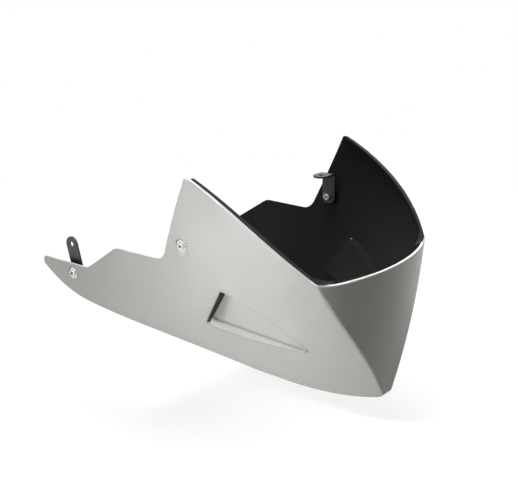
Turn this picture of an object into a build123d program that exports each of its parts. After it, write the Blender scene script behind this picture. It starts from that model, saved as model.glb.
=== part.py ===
"""Motorcycle belly pan: a thin moulded shell with a fin, a folded brow and a vent each side, and its fixings.

X points forward, Y to the machine's left and Z up. The origin lies on the middle plane, midway between the
two front fixing holes, level with the tops of their straps. Places on the shell are given as a distance back
from a datum just ahead of the nose and a height over a datum just above the nose's lowest point.
"""

import os
from math import atan2, degrees, radians, sqrt, tan
from typing import NamedTuple

from build123d import *

# Moulded wall
wall = 3
flange_width = 9
skin_round = 6
fold_round = 2.5

# Plan curves of the hull
nose_back = 5
nose_radius = 350
shoulder_back = 150
hull_back = 560


class Level(NamedTuple):
    """A level plan curve: its height and its half widths at the crease, the shoulder's pull and the rear."""

    height: float
    crease: float
    shoulder: float
    rear: float


keel = Level(height=-12, crease=3, shoulder=134, rear=150)
waist = Level(height=95, crease=75, shoulder=175, rear=168)
rim = Level(height=190, crease=139, shoulder=195, rear=176)
deck = Level(height=340, crease=179, shoulder=200, rear=184)

# Underside, a round chin and then an easy curve that climbs to the rear
chin_round = 13
chin_height = -6
chin_lead = 1.5
belly_front_back = 80
belly_front_height = 3
belly_middle_back = 211
belly_middle_height = 44
belly_rear_back = 423
belly_rear_height = 80
belly_end_back = 580
belly_end_height = 110
belly_plate_back = 350
belly_return = 15
belly_corner = 30

# Side outline: lip, brow, fin, step, ledge and tail
lip_height = 191
brow_start_back = 31
brow_middle_back = 115
brow_middle_height = 267
fin_tip_back = 209
fin_tip_height = 320
fin_tip_width = 9
fin_foot_back = 273
step_height = 192
step_end_back = 367
ledge_back = 437
ledge_height = 145
tail_tip_back = 541
tail_tip_height = 132
tail_middle_back = 508
tail_middle_height = 109
tail_start_back = 410
tail_start_height = 80
brow_corner_round = 18
fin_tip_round = 4
notch_round = 22
step_round = 24
ledge_round = 30
tail_tip_round = 8

# Side vents: a leaf in the side view with a straight rear edge, which sinks from its tip to its rear
vent_top_back = 180
vent_top_height = 162
vent_heel_back = 219
vent_heel_height = 101
vent_tip_back = 71
vent_tip_height = 76
vent_upper_back = 132
vent_upper_height = 135
vent_lower_back = 154
vent_lower_height = 88
vent_depth = 11
vent_reach = 10
vent_draft = 18
vent_slot_top = 8
vent_slot_heel = 4
vent_round = 2

# Screws and what they clamp
screw_size = 6
screw_hole = 6.6
head_size = 10.5
head_height = 3.3
dome_share = 0.7
socket_size = 4
socket_depth = 2
washer_size = 18
washer_thickness = 1.6
seat_depth = 1.4
seat_margin = 1.5
pad_thickness = 4
pad_margin = 3.5
spacer_size = 18
spacer_thickness = 4
nut_size = 10
nut_height = 6
nut_chamfer = 0.7
thread_gap = 0.05
screw_end = 1.5

# Straps and their places
strap_width = 24
strap_thickness = 3
strap_bend = 5
end_share = 0.45
fixing_hole = 8.5
front_screw_back = 233
front_screw_height = 221
front_rise = 39
front_turn_in = 25
rear_screw_back = 472
rear_screw_height = 129
rear_rise = 42
rear_lean = 12

fixing_height = front_screw_height + front_rise
clear = 20
ahead = -clear
half_span = deck.shoulder + clear
top_height = deck.height + clear
levels = (keel, waist, rim, deck)

side_view = Plane(origin=(front_screw_back, 0, -fixing_height), x_dir=(-1, 0, 0), z_dir=(0, 1, 0))

os.makedirs("parts", exist_ok=True)


def plan_view(height):
    """The level plane at a height: its first axis runs back from the datum, its second to the right."""
    return Plane(origin=(front_screw_back, 0, height - fixing_height), x_dir=(-1, 0, 0), z_dir=(0, 0, 1))


def bow(half_width):
    """How far back the bowed front lies at a half width."""
    return nose_back + nose_radius - sqrt(nose_radius**2 - half_width**2)


def hull(plan_levels, inset, floor, front_back=ahead, front_round=0):
    """The hull as a solid behind a front limit, drawn in by an inset, above the belly raised by a floor."""
    with BuildPart() as solid:
        for level in plan_levels:
            with BuildSketch(plan_view(level.height)) as plan:
                with BuildLine():
                    crease = (bow(level.crease), level.crease)
                    right = Bezier((hull_back, level.rear), (shoulder_back, level.shoulder), crease)
                    left = mirror(right, about=Plane.XZ)
                    ThreePointArc(right @ 1, (nose_back, 0), left @ 1)
                    Line(right @ 0, left @ 0)
                make_face()
                if inset:
                    offset(amount=-inset, kind=Kind.INTERSECTION, mode=Mode.REPLACE)
                if front_round:
                    behind = (Align.MIN, Align.CENTER)
                    with Locations((front_back, 0)):
                        Rectangle(hull_back, 2 * half_span, align=behind, mode=Mode.INTERSECT)
                    fillet(plan.vertices().group_by(Axis.X)[0], front_round)
        loft()
        with BuildSketch(side_view):
            with BuildLine():
                chin_start = (nose_back - chin_lead + floor, chin_height + chin_round)
                chin = JernArc(chin_start, (0, -1), chin_round - floor, 90)
                belly = Spline(
                    chin @ 1,
                    (belly_front_back, belly_front_height + floor),
                    (belly_middle_back, belly_middle_height + floor),
                    (belly_rear_back, belly_rear_height + floor),
                    (belly_end_back, belly_end_height + floor),
                    tangents=(
                        chin % 1,
                        (belly_end_back - belly_rear_back, belly_end_height - belly_rear_height),
                    ),
                )
                Polyline(
                    belly @ 1,
                    (belly_end_back, top_height),
                    (ahead, top_height),
                    (ahead, chin_height + chin_round),
                    chin @ 0,
                )
            make_face()
        extrude(amount=half_span, both=True, mode=Mode.INTERSECT)
    return solid.part


def brow_line():
    """The fold's line in the side view, from the lip's corner up to the fin's tip."""
    return ThreePointArc(
        (brow_start_back, lip_height),
        (brow_middle_back, brow_middle_height),
        (fin_tip_back, fin_tip_height),
    )


def on_skin(back, height):
    """The point on the right side's outer skin at a place in the side view, and the skin's normal there."""
    across = Axis(side_view.from_local_coords((back, height, 0)), (0, -1, 0))
    return min(outer.part.find_intersection_points(across), key=lambda hit: hit[0].Y)


# Outer form: cut down to the lip and the brow, with the creases, underside and fold rounded
with BuildPart() as outer:
    add(hull(levels, 0, 0))
    across = outer.faces().sort_by(Axis.Y)
    for side in (across[0], across[-1]):
        fillet(side.edges().sort_by(Axis.X)[1:].sort_by(Axis.Z)[:-1], skin_round)
    with BuildSketch(side_view) as above:
        with BuildLine():
            brow = brow_line()
            beyond = Line(brow @ 1, brow @ 1 + brow % 1 * fin_tip_back)
            Polyline(
                beyond @ 1,
                ((beyond @ 1).X, 2 * top_height),
                (ahead, 2 * top_height),
                (ahead, lip_height),
                brow @ 0,
            )
        make_face()
        fillet(above.vertices().sort_by_distance(brow @ 0)[0], brow_corner_round)
    extrude(amount=half_span, both=True, mode=Mode.SUBTRACT)
    nose_lip = side_view.from_local_coords((nose_back, lip_height, 0))
    fillet(outer.edges().sort_by_distance(nose_lip)[0], fold_round)

# Return flange under the brow, with the mouth between its two sides left open
with BuildPart() as flange:
    with BuildSketch(side_view):
        with BuildLine():
            brow_line()
        trace(line_width=2 * wall)
    extrude(amount=half_span, both=True)
    add(hull((waist, rim, deck), flange_width, wall), mode=Mode.SUBTRACT)

# Inside space: one wall in from the skin, under the flange
with BuildPart() as cavity:
    add(hull(levels, wall, wall))
    add(flange.part, mode=Mode.SUBTRACT)

# Vent recess in the right side, and the lining that forms it and stops short of the rear edge
vent_top, vent_heel, vent_tip, vent_upper, vent_lower = (
    on_skin(back, height)[0]
    for back, height in (
        (vent_top_back, vent_top_height),
        (vent_heel_back, vent_heel_height),
        (vent_tip_back, vent_tip_height),
        (vent_upper_back, vent_upper_height),
        (vent_lower_back, vent_lower_height),
    )
)
vent_edge = vent_heel - vent_top
vent_outward = vent_edge.cross(vent_tip - vent_top).normalized()
vent_plane = Plane(origin=vent_top, x_dir=vent_outward.cross(vent_edge), z_dir=vent_outward)
vent_fall = vent_tip - vent_top + vent_outward * vent_depth
vent_floor = Plane(origin=vent_tip, x_dir=vent_edge, z_dir=vent_edge.cross(vent_fall))


def in_vent_plane(point):
    """A point's place in the plane through the vent's corners."""
    local = vent_plane.to_local_coords(point)
    return (local.X, local.Y)


def vent_form(margin):
    """The recess as a solid, down to its sloping floor, grown by a margin on every side."""
    with BuildPart() as form:
        with BuildSketch(vent_plane.offset(vent_reach)) as mouth:
            with BuildLine():
                top, heel, tip = (in_vent_plane(corner) for corner in (vent_top, vent_heel, vent_tip))
                Line(top, heel)
                ThreePointArc(heel, in_vent_plane(vent_lower), tip)
                ThreePointArc(tip, in_vent_plane(vent_upper), top)
            make_face()
            fillet(mouth.vertices(), vent_round)
            offset(amount=margin + vent_reach * tan(radians(vent_draft)), mode=Mode.REPLACE)
        extrude(amount=-vent_reach - vent_depth - margin, taper=vent_draft)
        split(bisect_by=vent_floor.offset(-margin), keep=Keep.TOP)
    return form.part


slot_turn = degrees(atan2(vent_slot_top - vent_slot_heel, vent_edge.length))
slot_middle = ((vent_slot_top + vent_slot_heel) / 2, -vent_edge.length / 2)
with BuildPart() as lining:
    add(vent_form(wall))
    with BuildSketch(vent_plane):
        with Locations(slot_middle):
            Rectangle(half_span, half_span, rotation=-slot_turn, align=(Align.MIN, Align.CENTER))
    extrude(amount=half_span, both=True, mode=Mode.INTERSECT)
    add(outer.part, mode=Mode.INTERSECT)
recess = vent_form(0)


def screw_seat(back, height):
    """The flat that a screw's washer sits on, facing straight out to the right."""
    point, _ = on_skin(back, height)
    return Plane(origin=point + Vector(0, seat_depth, 0), x_dir=(1, 0, 0), z_dir=(0, -1, 0))


# Flat pads behind the screws, and the shallow seats and holes cut in the skin over them
screw_seats = {
    "front": screw_seat(front_screw_back, front_screw_height),
    "rear": screw_seat(rear_screw_back, rear_screw_height),
}
seat_size = washer_size + 2 * seat_margin
pad_size = seat_size + 2 * pad_margin
with BuildPart() as pads:
    for seat in screw_seats.values():
        with BuildSketch(seat):
            Circle(pad_size / 2)
        extrude(amount=-pad_thickness)
with BuildPart() as seats:
    for seat in screw_seats.values():
        with BuildSketch(seat):
            Circle(seat_size / 2)
        extrude(amount=clear)
        with BuildSketch(seat):
            Circle(screw_hole / 2)
        extrude(amount=-clear)

# Shell
with BuildPart() as shell:
    add(outer.part)
    add(cavity.part, mode=Mode.SUBTRACT)
    with BuildSketch(side_view) as outline:
        with BuildLine():
            top = Polyline(
                (ahead, fin_tip_height),
                (fin_tip_back + fin_tip_width, fin_tip_height),
                (fin_foot_back, step_height),
                (step_end_back, step_height),
                (ledge_back, ledge_height),
                (tail_tip_back, ledge_height),
                (tail_tip_back, tail_tip_height),
            )
            tail = ThreePointArc(
                (tail_tip_back, tail_tip_height),
                (tail_middle_back, tail_middle_height),
                (tail_start_back, tail_start_height),
            )
            Polyline(tail @ 1, (ahead, chin_height - clear), top @ 0)
        make_face()
        for corner, radius in (
            ((fin_tip_back + fin_tip_width, fin_tip_height), fin_tip_round),
            ((fin_foot_back, step_height), notch_round),
            ((step_end_back, step_height), step_round),
            ((ledge_back, ledge_height), ledge_round),
            ((tail_tip_back, ledge_height), tail_tip_round),
        ):
            fillet(outline.vertices().sort_by_distance(corner)[0], radius)
    extrude(amount=half_span, both=True, mode=Mode.INTERSECT)
    add(hull((keel, waist, rim), belly_return, -clear, belly_plate_back, belly_corner), mode=Mode.SUBTRACT)
    for form, mode in ((lining.part, Mode.ADD), (recess, Mode.SUBTRACT)):
        add(form, mode=mode)
        mirror(form, about=Plane.XZ, mode=mode)
    for form, mode in ((pads.part, Mode.ADD), (seats.part, Mode.SUBTRACT)):
        add(form, mode=mode)
        mirror(form, about=Plane.XZ, mode=mode)
shell.part.label = "shell"
export_step(shell.part, "parts/shell.step")


# Depths behind a seat at which the clamped pieces start
spacer_start = pad_thickness
strap_start = spacer_start + spacer_thickness
nut_start = strap_start + strap_thickness
screw_length = nut_start + nut_height + screw_end


def make_washer(seat):
    """Plain washer on the seat."""
    with BuildPart() as washer:
        with BuildSketch(seat):
            Circle(washer_size / 2)
            Circle(screw_hole / 2, mode=Mode.SUBTRACT)
        extrude(amount=washer_thickness)
    return washer.part


def make_screw(seat):
    """Domed screw with a hexagon socket."""
    with BuildPart() as screw:
        with BuildSketch(seat.offset(washer_thickness)):
            Circle(head_size / 2)
        extrude(amount=head_height)
        rim_edge = screw.edges().filter_by(GeomType.CIRCLE).sort_by(Axis.Y)[0]
        fillet(rim_edge, head_height * dome_share)
        with BuildSketch(seat.offset(washer_thickness)):
            Circle(screw_size / 2)
        extrude(amount=-washer_thickness - screw_length)
        with BuildSketch(seat.offset(washer_thickness + head_height)):
            RegularPolygon(socket_size / 2, 6, major_radius=False)
        extrude(amount=-socket_depth, mode=Mode.SUBTRACT)
    return screw.part


def make_spacer(seat):
    """Soft spacer between the shell's pad and the strap."""
    with BuildPart() as spacer:
        with BuildSketch(seat.offset(-spacer_start)):
            Circle(spacer_size / 2)
            Circle(screw_hole / 2, mode=Mode.SUBTRACT)
        extrude(amount=-spacer_thickness)
    return spacer.part


def make_nut(seat):
    """Hexagon nut behind the strap, with its corners turned off at both ends."""
    behind_strap = seat.offset(-nut_start)
    with BuildPart() as nut:
        with BuildSketch(behind_strap):
            Circle(nut_size / sqrt(3))
        extrude(amount=-nut_height)
        chamfer(nut.edges().filter_by(GeomType.CIRCLE), nut_chamfer)
        with BuildSketch(behind_strap):
            RegularPolygon(nut_size / 2, 6, major_radius=False)
            Circle(screw_size / 2 + thread_gap, mode=Mode.SUBTRACT)
        extrude(amount=-nut_height, mode=Mode.INTERSECT)
    return nut.part


def make_rear_strap(seat):
    """Flat strap that rises behind the tail to its fixing hole."""
    fixing = (-rear_lean, rear_rise)
    with BuildPart() as strap:
        with BuildSketch(seat.offset(-strap_start)):
            SlotCenterPoint((-rear_lean / 2, rear_rise / 2), fixing, strap_width)
            Circle(screw_hole / 2, mode=Mode.SUBTRACT)
            with Locations(fixing):
                Circle(fixing_hole / 2, mode=Mode.SUBTRACT)
        extrude(amount=-strap_thickness)
    return strap.part


def make_front_strap(seat):
    """Angle strap that rises behind the fin and turns inward to its upright fixing hole."""
    foot = seat.offset(-strap_start)
    middle = strap_thickness / 2
    with BuildPart() as strap:
        with BuildSketch(Plane(origin=foot.origin, x_dir=(0, 0, 1), z_dir=(-1, 0, 0))):
            with BuildLine():
                FilletPolyline(
                    (-strap_width / 2, middle),
                    (front_rise - middle, middle),
                    (front_rise - middle, front_turn_in + strap_width / 2),
                    radius=strap_bend,
                )
            trace(line_width=strap_thickness)
        extrude(amount=strap_width / 2, both=True)
        fillet(strap.edges().filter_by(Axis.Y).group_by(Axis.Z)[0], strap_width * end_share)
        fillet(strap.edges().filter_by(Axis.Z).group_by(Axis.Y)[-1], strap_width * end_share)
        with BuildSketch(foot):
            Circle(screw_hole / 2)
        extrude(amount=-strap_thickness, mode=Mode.SUBTRACT)
        with BuildSketch(Plane.XY):
            with Locations((0, foot.origin.Y + front_turn_in)):
                Circle(fixing_hole / 2)
        extrude(amount=-strap_thickness, mode=Mode.SUBTRACT)
    return strap.part


strap_makers = {"front": make_front_strap, "rear": make_rear_strap}
for place, seat in screw_seats.items():
    pieces = {
        "screw": make_screw(seat),
        "washer": make_washer(seat),
        "spacer": make_spacer(seat),
        "strap": strap_makers[place](seat),
        "nut": make_nut(seat),
    }
    for name, piece in pieces.items():
        for side, part in (("right", piece), ("left", mirror(piece, about=Plane.XZ))):
            part.label = f"{place}_{side}_{name}"
            export_step(part, f"parts/{part.label}.step")
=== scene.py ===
# %% [markdown]
# # A silver belly pan, dressed over its frame
# The real object is one thin moulding, painted silver outside and left raw and dark inside. Four screws
# clamp it to four straps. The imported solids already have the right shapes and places, so this lesson adds
# what solids can't show: the paint, the raw inner face, the metal and the light. Everything is in metres.

# %% The frame
from math import radians

import bmesh
import bpy
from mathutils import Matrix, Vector
from mathutils.bvhtree import BVHTree


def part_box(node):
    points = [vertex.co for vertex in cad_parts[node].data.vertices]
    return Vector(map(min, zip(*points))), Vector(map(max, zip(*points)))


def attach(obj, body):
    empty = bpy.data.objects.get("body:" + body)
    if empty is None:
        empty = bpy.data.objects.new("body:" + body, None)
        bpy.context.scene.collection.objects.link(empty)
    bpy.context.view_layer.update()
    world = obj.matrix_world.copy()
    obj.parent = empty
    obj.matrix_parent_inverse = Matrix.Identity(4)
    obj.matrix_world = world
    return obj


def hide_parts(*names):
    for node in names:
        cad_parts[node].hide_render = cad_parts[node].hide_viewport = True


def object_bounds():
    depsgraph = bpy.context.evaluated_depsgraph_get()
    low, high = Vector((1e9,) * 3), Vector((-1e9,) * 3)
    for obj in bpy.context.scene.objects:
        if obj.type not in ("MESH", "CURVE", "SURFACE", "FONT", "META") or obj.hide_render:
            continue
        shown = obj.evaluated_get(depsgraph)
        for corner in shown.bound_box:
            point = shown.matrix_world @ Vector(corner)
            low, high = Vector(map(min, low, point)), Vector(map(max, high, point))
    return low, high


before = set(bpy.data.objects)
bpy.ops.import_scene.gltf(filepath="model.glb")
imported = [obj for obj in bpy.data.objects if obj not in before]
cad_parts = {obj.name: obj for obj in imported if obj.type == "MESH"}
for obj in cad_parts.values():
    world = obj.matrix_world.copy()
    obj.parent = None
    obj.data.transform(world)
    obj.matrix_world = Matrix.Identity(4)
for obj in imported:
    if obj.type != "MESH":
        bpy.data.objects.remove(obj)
cad_low, cad_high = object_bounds()
scene = bpy.context.scene
scene.view_settings.view_transform = "Standard"
print("nodes:", len(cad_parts), "box:", [round(v, 4) for v in (*cad_low, *cad_high)])

# %% [markdown]
# ## Camera
# The picture was taken from the pan's right front, a little above it, from about a metre and a half. The
# frame is 518 by 500 pixels and a long lens drew it, so the camera gets a place, a direction and a lens
# that give the same outline. A camera looks along its own -Z, so a tracking turn from the direction is the
# short way.

# %% Camera
PICTURE_WIDTH = 518
FOCAL_PIXELS = 1000
SENSOR_WIDTH = 36
eye = bpy.data.cameras.new("eye")
eye.sensor_width = SENSOR_WIDTH
eye.lens = SENSOR_WIDTH * FOCAL_PIXELS / PICTURE_WIDTH
camera = bpy.data.objects.new("eye", eye)
scene.collection.objects.link(camera)
camera.location = (0.900, -1.143, 0.369)
looking = Vector((-0.5937, 0.7464, -0.3007))
camera.rotation_euler = looking.to_track_quat("-Z", "Y").to_euler()
scene.camera = camera
print("lens:", round(eye.lens, 2), "mm")

# %% [markdown]
# ## Shader sums
# A finish is easier to read as a sum than as a net of boxes. `Flow` holds one socket of a material's nodes.
# Adding or multiplying flows adds Math nodes, and `node` adds any other node: its settings are set first,
# then its sockets are filled with numbers or with other flows.


# %% Shader sums
class Flow:
    """One output socket of a node tree, which can be used in sums."""

    def __init__(self, tree, socket=None):
        self.tree = tree
        self.socket = socket

    def node(self, kind, settings, values, outlet=0):
        made = self.tree.nodes.new(kind)
        for key, setting in settings.items():
            setattr(made, key, setting)
        for key, value in values.items():
            if isinstance(value, Flow):
                self.tree.links.new(value.socket, made.inputs[key])
            else:
                made.inputs[key].default_value = value
        return Flow(self.tree, made.outputs[outlet] if made.outputs else None)

    def maths(self, operation, first, second):
        return self.node("ShaderNodeMath", {"operation": operation}, {0: first, 1: second})

    def __add__(self, other):
        return self.maths("ADD", self, other)

    def __sub__(self, other):
        return self.maths("SUBTRACT", self, other)

    def __rsub__(self, other):
        return self.maths("SUBTRACT", other, self)

    def __mul__(self, other):
        return self.maths("MULTIPLY", self, other)

    __radd__ = __add__
    __rmul__ = __mul__


# %% [markdown]
# ## Nodes that the finishes share
# Every finish here is made of the same few things: a cloudy noise, a step from one value to another, a
# blend of two colours and a bump. Each could be set up anew in every material, but as a function it has one
# name, and a finish then reads like a recipe. `finish` makes the material and fills its Principled shader.

# %% Nodes that the finishes share
NOISE_MIDDLE = 0.5


def noise(place, scale, detail):
    """Soft cloudy values around a half, with features of about one part in `scale` of a metre."""
    return place.node("ShaderNodeTexNoise", {}, {"Vector": place, "Scale": scale, "Detail": detail})


def swing(cloud):
    """A noise's rise above its middle or fall below it."""
    return cloud - NOISE_MIDDLE


def ramp(value, start, end, first, last):
    """A number that goes from the first to the last as a value goes from start to end, and holds beyond."""
    return value.node("ShaderNodeMapRange", {}, {"Value": value, 1: start, 2: end, 3: first, 4: last})


def blend(factor, first, second):
    """A colour that goes from the first to the second as the factor goes from 0 to 1."""
    return factor.node("ShaderNodeMix", {"data_type": "RGBA"}, {0: factor, 6: first, 7: second}, outlet=2)


def bumps(height, strength, depth):
    """A direction of the surface that follows heights of up to a depth in metres."""
    return height.node("ShaderNodeBump", {}, {"Strength": strength, "Distance": depth, "Height": height})


def finish(name, describe):
    """A material whose Principled shader gets the sockets that `describe` returns."""
    material = bpy.data.materials.new(name)
    material.use_nodes = True
    tree = material.node_tree
    tree.nodes.clear()
    start = Flow(tree)
    place = start.node("ShaderNodeTexCoord", {}, {}, outlet="Object")
    shader = start.node("ShaderNodeBsdfPrincipled", {}, describe(place))
    start.node("ShaderNodeOutputMaterial", {}, {"Surface": shader})
    print("finish:", name, "-", len(tree.nodes), "nodes")
    return material


# %% [markdown]
# ## Silver paint
# The real skin is a satin silver: a grey base with fine metal flakes under a thin lacquer. It isn't a
# mirror, so most of its light is diffuse. The flakes are a fine noise, the lacquer's slight waviness is a
# bump of a few millimetres, and a broad cloud keeps the colour from being flat. Road film dulls the lowest
# part. Shade is painted dark into every corner and along the rims of the vents, and all other edges are
# painted a little paler, partly as wear and partly as a painted highlight. Both could be painted by hand,
# but the Ambient Occlusion node finds corners by itself, and edges too when it looks into the wall.

# %% Where shade and highlights are painted on the silver
OPEN_ON_A_FLAT = 0.97
OPEN_IN_A_CORNER = 0.55
VENT_LENGTH = (0.012, 0.168)
VENT_HEIGHT = (-0.188, -0.092)


def nearness(place, reach, inside):
    """How closed in a point is, by surfaces outside it or by the wall's own faces inside it: 0 on a flat."""
    settings = {"samples": 16, "only_local": True, "inside": inside}
    open_share = place.node("ShaderNodeAmbientOcclusion", settings, {"Distance": reach}, outlet="AO")
    return ramp(open_share, OPEN_ON_A_FLAT, OPEN_IN_A_CORNER, 0.0, 1.0)


def within(value, low, high):
    """One where a value lies between two limits, and nought elsewhere."""
    return value.maths("GREATER_THAN", value, low) * value.maths("LESS_THAN", value, high)


def measure(place, axis):
    """How far along an axis a point lies."""
    return place.node("ShaderNodeSeparateXYZ", {}, {"Vector": place}, outlet=axis)


# %% Silver paint
SILVER = (0.503, 0.519, 0.503, 1)
SILVER_SHADED = (0.446, 0.458, 0.443, 1)
ROAD_FILM = (0.36, 0.345, 0.32, 1)
# The next colour is painted shade, laid into corners and along the vent's rims.
PAINTED_SHADE = (0.09, 0.088, 0.082, 1)
# A paler edge colour, partly wear and partly a painted highlight.
RUBBED_AND_HIGHLIGHT = (0.66, 0.665, 0.66, 1)
CLOUD_SCALE, FLAKE_SCALE, PEEL_SCALE = 5, 2400, 420
PEEL_STRENGTH, PEEL_DEPTH = 0.06, 0.0004
FLAKE_TONE = 0.9
FILM_HEIGHT = (-0.265, -0.17)
FILM_SHARE = 0.5
EDGE_REACH, CORNER_REACH = 0.0014, 0.006
EDGE_AND_CORNER_SHARE = 0.8
PAINT_ROUGH, FLAKE_ROUGH, FILM_ROUGH = 0.40, 0.25, 0.15


def silver_paint(place):
    cloud = noise(place, CLOUD_SCALE, 3)
    flake = noise(place, FLAKE_SCALE, 1)
    peel = noise(place, PEEL_SCALE, 1)
    along, height = measure(place, "X"), measure(place, "Z")
    film = ramp(height, *FILM_HEIGHT, FILM_SHARE, 0.0)
    tone = blend(cloud + swing(flake) * FLAKE_TONE, SILVER_SHADED, SILVER)
    # At the vent the edges take the painted shade instead of the paler edge colour.
    at_the_vent = within(along, *VENT_LENGTH) * within(height, *VENT_HEIGHT)
    edge_tone = blend(at_the_vent, RUBBED_AND_HIGHLIGHT, PAINTED_SHADE)
    # Edges elsewhere are paler: partly wear, partly a painted highlight.
    worn_and_highlit = blend(nearness(place, EDGE_REACH, True) * EDGE_AND_CORNER_SHARE, tone, edge_tone)
    # Every corner is darkened here: painted shade.
    shaded_in_corners = blend(nearness(place, CORNER_REACH, False) * EDGE_AND_CORNER_SHARE, worn_and_highlit, PAINTED_SHADE)
    return {
        "Base Color": blend(film * cloud, shaded_in_corners, ROAD_FILM),
        "Roughness": PAINT_ROUGH + swing(flake) * FLAKE_ROUGH + film * FILM_ROUGH,
        "Specular IOR Level": 0.35,
        "Coat Weight": 0.25,
        "Coat Roughness": 0.18,
        "Normal": bumps(peel, PEEL_STRENGTH, PEEL_DEPTH),
    }


paint = finish("silver paint", silver_paint)

# %% [markdown]
# ## Raw inner face
# The inside was never sprayed. It is the dark plastic as it left the mould, with the fine even grain of a
# blasted tool. A picture of grain would have to be laid over every bend, while a noise in space needs no
# laying, so a small-scale noise does for the grain, both as a bump and as a slight change of sheen.

# %% Raw inner face
RAW_DARK = (0.008, 0.008, 0.0078, 1)
RAW_PALE = (0.016, 0.016, 0.0155, 1)
GRAIN_SCALE, RAW_CLOUD_SCALE = 1300, 9
GRAIN_STRENGTH, GRAIN_DEPTH = 0.1, 0.0003
RAW_ROUGH, GRAIN_ROUGH = 0.75, 0.3


def raw_moulding(place):
    grain = noise(place, GRAIN_SCALE, 2)
    cloud = noise(place, RAW_CLOUD_SCALE, 3)
    return {
        "Base Color": blend(cloud, RAW_DARK, RAW_PALE),
        "Roughness": RAW_ROUGH + swing(grain) * GRAIN_ROUGH,
        "Specular IOR Level": 0.08,
        "Normal": bumps(grain, GRAIN_STRENGTH, GRAIN_DEPTH),
    }


raw = finish("raw moulding", raw_moulding)

# %% [markdown]
# ## Bright steel
# The screws, washers and nuts are plated steel. Each was turned, so fine rings run round its axis. Its
# socket
# is painted dark, dull and not metallic: a painted shade in the hollow. Rings could be cut into the mesh,
# but they are far finer than its faces. The axes of all of them run across the pan at two known places, so
# the distance to the nearer axis gives both the rings and the socket's painted shade from one value.


# %% Distance from a screw's axis
def axis_of(node):
    """The middle of a turned piece."""
    low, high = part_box(node)
    return (low + high) / 2


def from_axis(place, node):
    """How far a point lies from the axis of a turned piece, which runs across the pan."""
    flat = place.node("ShaderNodeVectorMath", {"operation": "MULTIPLY"}, {0: place, 1: (1, 0, 1)})
    middle = axis_of(node)
    ends = {0: flat, 1: (middle.x, 0, middle.z)}
    return place.node("ShaderNodeVectorMath", {"operation": "DISTANCE"}, ends, outlet="Value")


# %% Bright steel
STEEL = (0.66, 0.66, 0.645, 1)
STEEL_DULL = (0.50, 0.50, 0.485, 1)
# The socket's colour is painted shade in its hollow.
SOCKET_SHADE = (0.03, 0.029, 0.027, 1)
SOCKET_REACH, SOCKET_FADE = 0.00236, 0.0003
RING_SCALE = 26000
RING_STRENGTH, RING_DEPTH = 0.08, 0.0001
PLATING_SCALE = 600
SOCKET_ROUGH, PLATING_POLISH, PLATING_ROUGH = 0.62, 0.36, 0.15


def bright_steel(place):
    front = from_axis(place, "front_right_screw")
    rear = from_axis(place, "rear_right_screw")
    reach = place.maths("MINIMUM", front, rear)
    rings = place.maths("SINE", reach * RING_SCALE, 0)
    cloud = noise(place, PLATING_SCALE, 2)
    # Inside the socket the steel is painted dark, dull and not metallic: a painted shade.
    outside_socket = ramp(reach, SOCKET_REACH - SOCKET_FADE, SOCKET_REACH, 0.0, 1.0)
    plated = blend(cloud, STEEL_DULL, STEEL)
    return {
        "Base Color": blend(outside_socket, SOCKET_SHADE, plated),
        "Metallic": outside_socket,
        "Roughness": SOCKET_ROUGH - outside_socket * PLATING_POLISH + swing(cloud) * PLATING_ROUGH,
        "Normal": bumps(rings, RING_STRENGTH, RING_DEPTH),
    }


steel = finish("bright plated steel", bright_steel)

# %% [markdown]
# ## Strap coat and spacer rubber
# The straps are steel under a satin black coat, which has a soft pebbled surface. The spacers are plain
# rubber, matt and a little grey with age. Both are dark, so colour alone would make them look the same.
# What tells them apart is the sheen and the bump, and both come from noises of different sizes.

# %% Strap coat
COAT_DARK = (0.022, 0.022, 0.022, 1)
COAT_PALE = (0.05, 0.05, 0.048, 1)
PEBBLE_SCALE, COAT_CLOUD_SCALE = 700, 30
PEBBLE_STRENGTH, PEBBLE_DEPTH = 0.2, 0.0002
COAT_ROUGH, COAT_SWING = 0.42, 0.2


def strap_coat(place):
    pebble = noise(place, PEBBLE_SCALE, 1)
    cloud = noise(place, COAT_CLOUD_SCALE, 3)
    return {
        "Base Color": blend(cloud, COAT_DARK, COAT_PALE),
        "Roughness": COAT_ROUGH + swing(cloud) * COAT_SWING,
        "Normal": bumps(pebble, PEBBLE_STRENGTH, PEBBLE_DEPTH),
    }


coat = finish("black strap coat", strap_coat)

# %% Spacer rubber
RUBBER_DARK = (0.012, 0.012, 0.012, 1)
RUBBER_PALE = (0.03, 0.03, 0.03, 1)
RUBBER_SCALE = 250
RUBBER_STRENGTH, RUBBER_DEPTH = 0.15, 0.0002
RUBBER_ROUGH, RUBBER_SWING = 0.75, 0.2


def spacer_rubber(place):
    cloud = noise(place, RUBBER_SCALE, 3)
    return {
        "Base Color": blend(cloud, RUBBER_DARK, RUBBER_PALE),
        "Roughness": RUBBER_ROUGH + swing(cloud) * RUBBER_SWING,
        "Normal": bumps(cloud, RUBBER_STRENGTH, RUBBER_DEPTH),
    }


rubber = finish("spacer rubber", spacer_rubber)

# %% [markdown]
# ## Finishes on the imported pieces
# The screws, washers, nuts, straps and spacers could be modelled again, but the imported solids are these
# pieces already, with their true sizes. So each keeps its mesh and gets a finish, and the last word of its
# name says which.

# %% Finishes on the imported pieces
finishes = {"screw": steel, "washer": steel, "nut": steel, "strap": coat, "spacer": rubber}
for name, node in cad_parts.items():
    kind = name.split("_")[-1]
    if kind in finishes:
        for holder in node.material_slots:
            holder.material = finishes[kind]
print("packed pieces dressed:", len(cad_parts) - 1)

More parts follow.
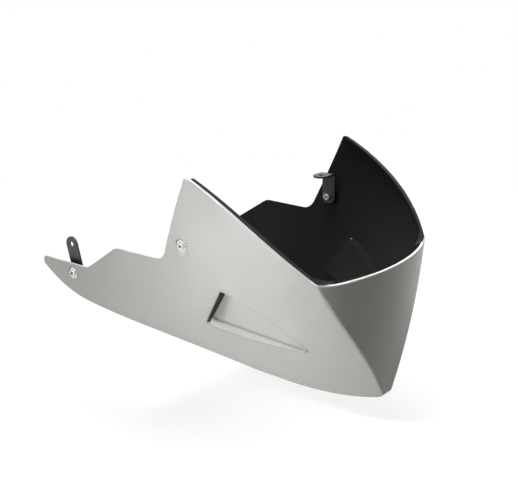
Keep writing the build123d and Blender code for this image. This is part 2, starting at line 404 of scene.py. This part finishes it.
# %% [markdown]
# ## The moulding, sprayed outside and raw inside
# One node can't show two finishes without cutting its mesh, so a copy of the shell stands for it. The
# copy's loose triangles are merged first. Then each face is asked which way it looks: a face that looks out
# of the pan and sees nothing of the moulding in front of it was in the spray, and every other face stayed
# raw. The turned-in flange along the brow is left raw and dark as well, and so is the inner side of the
# front, which could only be reached over the lip. Merging would leave the shading to guess at the curves,
# so the copy keeps the directions that the imported mesh holds at each corner.

# %% The moulding's faces
MERGE_REACH = 1e-6
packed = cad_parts["shell"].data
form = bmesh.new()
form.from_mesh(packed)
origin = form.faces.layers.int.new("packed face")
for face in form.faces:
    face[origin] = face.index
bmesh.ops.remove_doubles(form, verts=form.verts, dist=MERGE_REACH)
form.normal_update()
print("merged:", len(packed.vertices), "to", len(form.verts), "vertices")

# %% The moulding's directions
SHARP_TURN = 0.12


def packed_normal(face, vertex):
    """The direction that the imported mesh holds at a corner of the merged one."""

    def gap(corner):
        return (packed.vertices[packed.loops[corner].vertex_index].co - vertex.co).length

    nearest = min(packed.polygons[face[origin]].loop_indices, key=gap)
    return packed.corner_normals[nearest].vector.copy()


normals = {(face, vertex): packed_normal(face, vertex) for face in form.faces for vertex in face.verts}
for edge in form.edges:
    one, other = edge.link_faces
    edge.smooth = all(normals[one, v].angle(normals[other, v]) < SHARP_TURN for v in edge.verts)
print("sharp edges:", sum(not edge.smooth for edge in form.edges))

# %% In the spray
NUDGE = 0.0002
LEANS = (0, 0.35, -0.35)
GRAZING = 0.05
SIDEWAYS = [Vector((along, 1, up)).normalized() for along in LEANS for up in LEANS]
FORWARD, DOWN = Vector((1, 0, 0)), Vector((0, 0, -1))
LIP_TOP = -0.0675
walls = BVHTree.FromBMesh(form)


def in_the_spray(face):
    """Whether a face looks out of the pan with nothing of the moulding in its way."""
    middle = face.calc_center_median()
    side = 1 if middle.y > 0 else -1
    ways = [Vector((way.x, way.y * side, way.z)) for way in SIDEWAYS] + [DOWN]
    if middle.z < LIP_TOP:
        ways.append(FORWARD)
    start = middle + face.normal * NUDGE
    return any(face.normal.dot(way) > GRAZING and walls.ray_cast(start, way)[0] is None for way in ways)


print("ways out of each side:", len(SIDEWAYS), "and two more")

# %% Sprayed or raw
PAINT, RAW = 0, 1
FIN_TIP = 0.024
FRONT_START = 0.1
FLANGE_SIDEWAYS, FLANGE_UP = 0.02, 0.4
LOOKS_BACK, LOOKS_OUT = -0.3, 0.15


def on_the_flange(face):
    """Whether a face lies on the return flange, whose top leans forward but never sideways."""
    middle = face.calc_center_median()
    corners = [normals[face, vertex] for vertex in face.verts]
    level = all(abs(corner.y) < FLANGE_SIDEWAYS and corner.z > FLANGE_UP for corner in corners)
    return level and middle.z > LIP_TOP and middle.x > FIN_TIP


def behind_the_front(face):
    """Whether a face is on the inner side of the front, which the spray could only reach over the lip."""
    middle = face.calc_center_median()
    inward = face.normal.x < LOOKS_BACK and face.normal.y * middle.y < LOOKS_OUT * abs(middle.y)
    return inward and middle.x > FRONT_START


for face in form.faces:
    face.smooth = True
    shielded = on_the_flange(face) or behind_the_front(face)
    face.material_index = PAINT if in_the_spray(face) and not shielded else RAW
sprayed = sum(face.material_index == PAINT for face in form.faces)
print("moulding:", len(form.faces), "faces,", sprayed, "sprayed")

# %% The moulding
mesh = bpy.data.meshes.new("moulding")
for material in (paint, raw):
    mesh.materials.append(material)
form.to_mesh(mesh)
mesh.normals_split_custom_set([normals[face, vertex] for face in form.faces for vertex in face.verts])
form.free()
moulding = bpy.data.objects.new("moulding", mesh)
scene.collection.objects.link(moulding)
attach(moulding, "root")
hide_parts("shell")
print("moulding:", len(mesh.vertices), "vertices,", len(mesh.materials), "finishes")

# %% [markdown]
# ## Floor and world
# The pan is shown on plain white, as on a shooting table: a pale translucent sheet with a lamp under it. A
# sheet of real thickness would dim and scatter that lamp, so here it is a wide disc that casts no shadow
# itself. It keeps the pan's shadow and turns to plain white away from the pan. The world behind it is white
# to the camera, to reflections and through glass, while it sheds only a little light.

# %% Floor
FLOOR_RADIUS = 14
FLOOR_SIDES = 96
FLOOR_DROP = 0.07
floor_mesh = bpy.data.meshes.new("floor")
disc = bmesh.new()
bmesh.ops.create_circle(disc, cap_ends=True, segments=FLOOR_SIDES, radius=FLOOR_RADIUS)
bmesh.ops.translate(disc, verts=disc.verts, vec=(0, 0, cad_low.z - FLOOR_DROP))
disc.to_mesh(floor_mesh)
disc.free()
floor = bpy.data.objects.new("floor", floor_mesh)
scene.collection.objects.link(floor)
floor.visible_shadow = False
print("floor at", round(cad_low.z - FLOOR_DROP, 3))

# %% Pale floor
WHITE = (1, 1, 1, 1)
FLOOR_BOUNCE = (0.16, 0.135, 0.105, 1)
SHADOW_REACH, WHITE_REACH = 0.7, 1.7
SHADOW_SHARE = 0.8
BACKGROUND_RAYS = ("Is Camera Ray", "Is Glossy Ray", "Is Transmission Ray")


def seen(start):
    """One for rays that show the background: those of the camera, of gloss and of glass."""
    rays = [start.node("ShaderNodeLightPath", {}, {}, outlet=ray) for ray in BACKGROUND_RAYS]
    eye_or_gloss = start.maths("MAXIMUM", rays[0], rays[1])
    return start.maths("MAXIMUM", eye_or_gloss, rays[2])


floor_material = bpy.data.materials.new("pale floor")
floor_material.use_nodes = True
floor_material.node_tree.nodes.clear()
start = Flow(floor_material.node_tree)
shown = seen(start)
place = start.node("ShaderNodeTexCoord", {}, {}, outlet="Object")
reach = start.node("ShaderNodeVectorMath", {"operation": "LENGTH"}, {0: place}, outlet="Value")
white_share = ramp(reach, SHADOW_REACH, WHITE_REACH, SHADOW_SHARE, 1.0)
lit = start.node("ShaderNodeBsdfDiffuse", {}, {"Color": blend(shown, FLOOR_BOUNCE, WHITE)})
glow = start.node("ShaderNodeEmission", {}, {"Color": WHITE, "Strength": 1.0})
both = start.node("ShaderNodeMixShader", {}, {0: shown * white_share, 1: lit, 2: glow})
start.node("ShaderNodeOutputMaterial", {}, {"Surface": both})
floor_mesh.materials.append(floor_material)
print("floor:", len(floor_material.node_tree.nodes), "nodes")

# %% World
AMBIENT = 0.04
world = bpy.data.worlds.new("white room")
scene.world = world
world.use_nodes = True
world.node_tree.nodes.clear()
start = Flow(world.node_tree)
strength = AMBIENT + seen(start) * (1 - AMBIENT)
sky = start.node("ShaderNodeBackground", {}, {"Color": WHITE, "Strength": strength})
start.node("ShaderNodeOutputWorld", {}, {"Surface": sky})
print("world:", len(world.node_tree.nodes), "nodes")

# %% [markdown]
# ## Lamps
# In the picture the light comes from the right and is even, because a white floor sends much of it back up.
# The front lies in half shade. The lamp under the table lights the skin, a high softbox at the right adds
# the upper edges, and a narrow one brightens the vent and the skin ahead of it. All three stand a little
# behind the crease, so that they pass the front. A softbox at the left and one above keep the far edge and
# the folds from going black. Point lamps would draw hard shadows, so all of them are area lamps.

# %% Lamps
PAN_MIDDLE = (-0.05, 0, -0.1)
VENT_AHEAD = (0.26, -0.07, -0.28)
WIDE, NARROW = 180, 9


def softbox(name, place, size, watts, target=PAN_MIDDLE, spread=WIDE):
    """A square lamp that looks from its place at a target and fans out by an angle in degrees."""
    lamp = bpy.data.lights.new(name, "AREA")
    lamp.size = size
    lamp.energy = watts
    lamp.spread = radians(spread)
    holder = bpy.data.objects.new(name, lamp)
    scene.collection.objects.link(holder)
    holder.location = place
    holder.rotation_euler = (Vector(target) - Vector(place)).to_track_quat("-Z", "Y").to_euler()


softbox("table lamp", (-1.97, -6.8, -3.86), size=3.5, watts=265)
softbox("right softbox", (-0.4, -3.2, 3.0), size=1.6, watts=40)
softbox("narrow softbox", (-0.7, -3.2, 2.0), size=0.4, watts=1.0, target=VENT_AHEAD, spread=NARROW)
softbox("left softbox", (-0.1, 2.6, 1.2), size=1.5, watts=62)
softbox("top softbox", (-0.2, 0.1, 2.3), size=1.4, watts=70)
